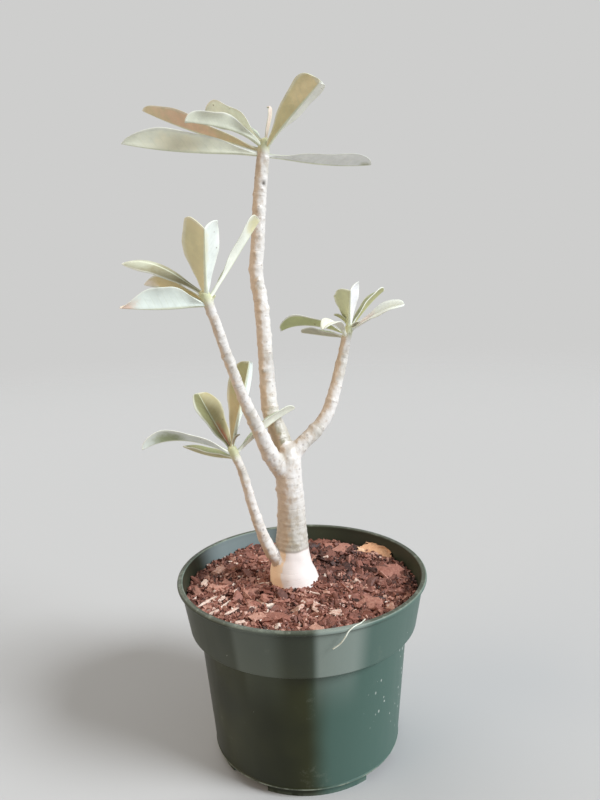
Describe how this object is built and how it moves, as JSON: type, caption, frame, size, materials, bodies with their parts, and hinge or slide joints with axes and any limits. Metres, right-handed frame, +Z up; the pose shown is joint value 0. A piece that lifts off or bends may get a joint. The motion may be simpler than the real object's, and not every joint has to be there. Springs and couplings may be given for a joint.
{
  "type": "potted desert rose plant",
  "caption": "Small potted desert rose: a swollen pale stem with leafy shoots, growing in bark chips in a round green plastic nursery pot that stands by itself.",
  "frame": {"origin": "centre of the whole plant's bounding box, on the surface that the pot's feet stand on", "axes": "+Z up along the stem; +X to the right and +Y away from the viewer, as the plant is seen in its picture"},
  "size_m": [0.183, 0.165, 0.43],
  "materials": {
    "pot_plastic": "satin dark green injection-moulded plastic",
    "bark_mix": "damp reddish-brown bark chips",
    "stem_bark": "smooth grey-cream bark with leaf scars",
    "leaf_pale": "pale grey-green, waxy",
    "leaf_green": "mid green, waxy, paler midrib"
  },
  "bodies": {
    "root": {"pot": "pot_plastic", "soil": "bark_mix", "stem": "stem_bark", "leaf_top_1": "leaf_pale", "leaf_top_2": "leaf_pale", "leaf_top_3": "leaf_pale", "leaf_top_4": "leaf_pale", "leaf_top_5": "leaf_pale", "leaf_top_6": "leaf_pale", "leaf_top_7": "leaf_pale", "leaf_left_1": "leaf_pale", "leaf_left_2": "leaf_pale", "leaf_left_3": "leaf_pale", "leaf_left_4": "leaf_pale", "leaf_left_5": "leaf_pale", "leaf_right_1": "leaf_green", "leaf_right_2": "leaf_green", "leaf_right_3": "leaf_green", "leaf_right_4": "leaf_green", "leaf_right_5": "leaf_green", "leaf_right_6": "leaf_green", "leaf_low_1": "leaf_green", "leaf_low_2": "leaf_green", "leaf_low_3": "leaf_green", "leaf_low_4": "leaf_green", "leaf_low_5": "leaf_green"}
  },
  "joints": []
}
